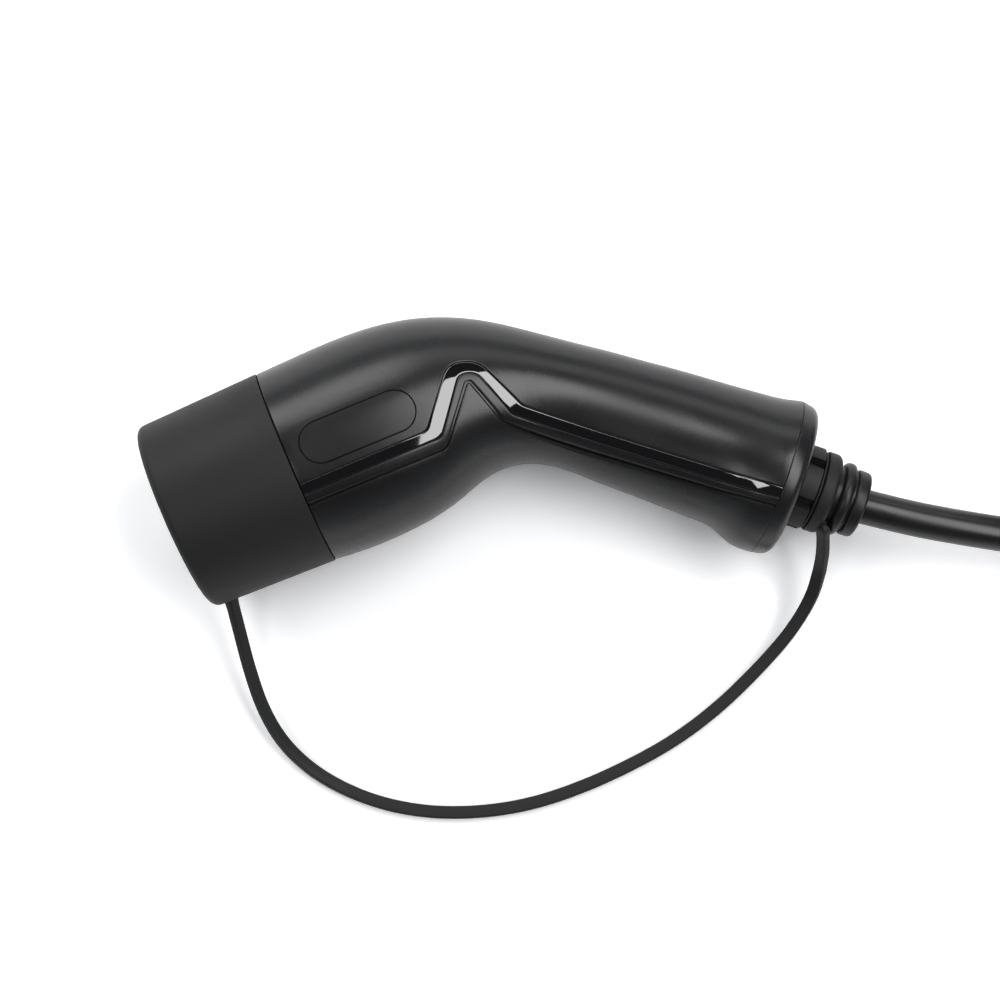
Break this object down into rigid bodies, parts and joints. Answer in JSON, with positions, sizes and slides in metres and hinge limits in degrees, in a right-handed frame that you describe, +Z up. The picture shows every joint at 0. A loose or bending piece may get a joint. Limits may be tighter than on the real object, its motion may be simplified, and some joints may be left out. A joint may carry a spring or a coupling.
{
  "type": "electric vehicle charging cable",
  "caption": "Coiled charging cable with an angled vehicle connector under a tethered pull-off cap and a plug for the charging station",
  "frame": {"origin": "on the floor, under the middle of the box round the vehicle connector with its cap, cable and station plug left out", "axes": "+Z up; +X runs backwards along the vehicle connector's mating axis, from its cap towards its handle; +Y points to the outside of the handle's bend, so the connector lies on its side"},
  "size_m": [0.6606, 0.2566, 0.0725],
  "materials": {
    "housing_plastic": "satin moulded, very fine grain",
    "gloss_trim": "polished",
    "insulator_plastic": "satin moulded",
    "contact_metal": "silver plated, smooth",
    "core_insulation": "extruded, smooth",
    "resistor_body": "lacquered",
    "seal_rubber": "matte",
    "screw_steel": "zinc plated",
    "gland_plastic": "satin moulded",
    "sleeve_rubber": "matte",
    "cable_jacket": "smooth with a soft sheen",
    "cap_rubber": "matte, fine grain",
    "tie_fabric": "woven hook and loop"
  },
  "bodies": {
    "cable_set": {"cable_coil": "cable_jacket", "cable_lead": "cable_jacket", "cable_return": "cable_jacket", "cap_tether": "cap_rubber", "coil_ties": "tie_fabric", "station_bend_sleeve": "sleeve_rubber", "station_cable_clamp": "gland_plastic", "station_cable_tail": "cable_jacket", "station_clamp_screws": "screw_steel", "station_coding_resistor": "resistor_body", "station_contact_cp": "contact_metal", "station_contact_insert": "insulator_plastic", "station_contact_l1": "contact_metal", "station_contact_l2": "contact_metal", "station_contact_l3": "contact_metal", "station_contact_n": "contact_metal", "station_contact_pe": "contact_metal", "station_contact_pp": "contact_metal", "station_contact_retainer": "insulator_plastic", "station_cores": "core_insulation", "station_gland": "gland_plastic", "station_gland_seal": "seal_rubber", "station_housing_screws": "screw_steel", "station_lock_nut": "gland_plastic", "station_lower_shell": "housing_plastic", "station_nose_seal": "seal_rubber", "station_nose_shroud": "insulator_plastic", "station_rear_ring": "housing_plastic", "station_trim_strip_left": "gloss_trim", "station_trim_strip_right": "gloss_trim", "station_upper_shell": "housing_plastic", "vehicle_bend_sleeve": "sleeve_rubber", "vehicle_cable_clamp": "gland_plastic", "vehicle_cable_tail": "cable_jacket", "vehicle_clamp_screws": "screw_steel", "vehicle_coding_resistor": "resistor_body", "vehicle_contact_cp": "contact_metal", "vehicle_contact_insert": "insulator_plastic", "vehicle_contact_l1": "contact_metal", "vehicle_contact_l2": "contact_metal", "vehicle_contact_l3": "contact_metal", "vehicle_contact_n": "contact_metal", "vehicle_contact_pe": "contact_metal", "vehicle_contact_pp": "contact_metal", "vehicle_contact_retainer": "insulator_plastic", "vehicle_cores": "core_insulation", "vehicle_gland": "gland_plastic", "vehicle_gland_seal": "seal_rubber", "vehicle_housing_screws": "screw_steel", "vehicle_lock_nut": "gland_plastic", "vehicle_lower_shell": "housing_plastic", "vehicle_nose_seal": "seal_rubber", "vehicle_nose_shroud": "insulator_plastic", "vehicle_rear_ring": "housing_plastic", "vehicle_tether_ring": "cap_rubber", "vehicle_trim_strip_left": "gloss_trim", "vehicle_trim_strip_right": "gloss_trim", "vehicle_upper_shell": "housing_plastic"},
    "cap": {"vehicle_cap": "cap_rubber"}
  },
  "joints": [
    {"name": "cap_pull", "type": "slide", "parent": "cable_set", "child": "cap", "axis": [-0.9989, 0, 0.0468], "range_m": [0, 0.06], "deforming": ["cap_tether"]}
  ]
}
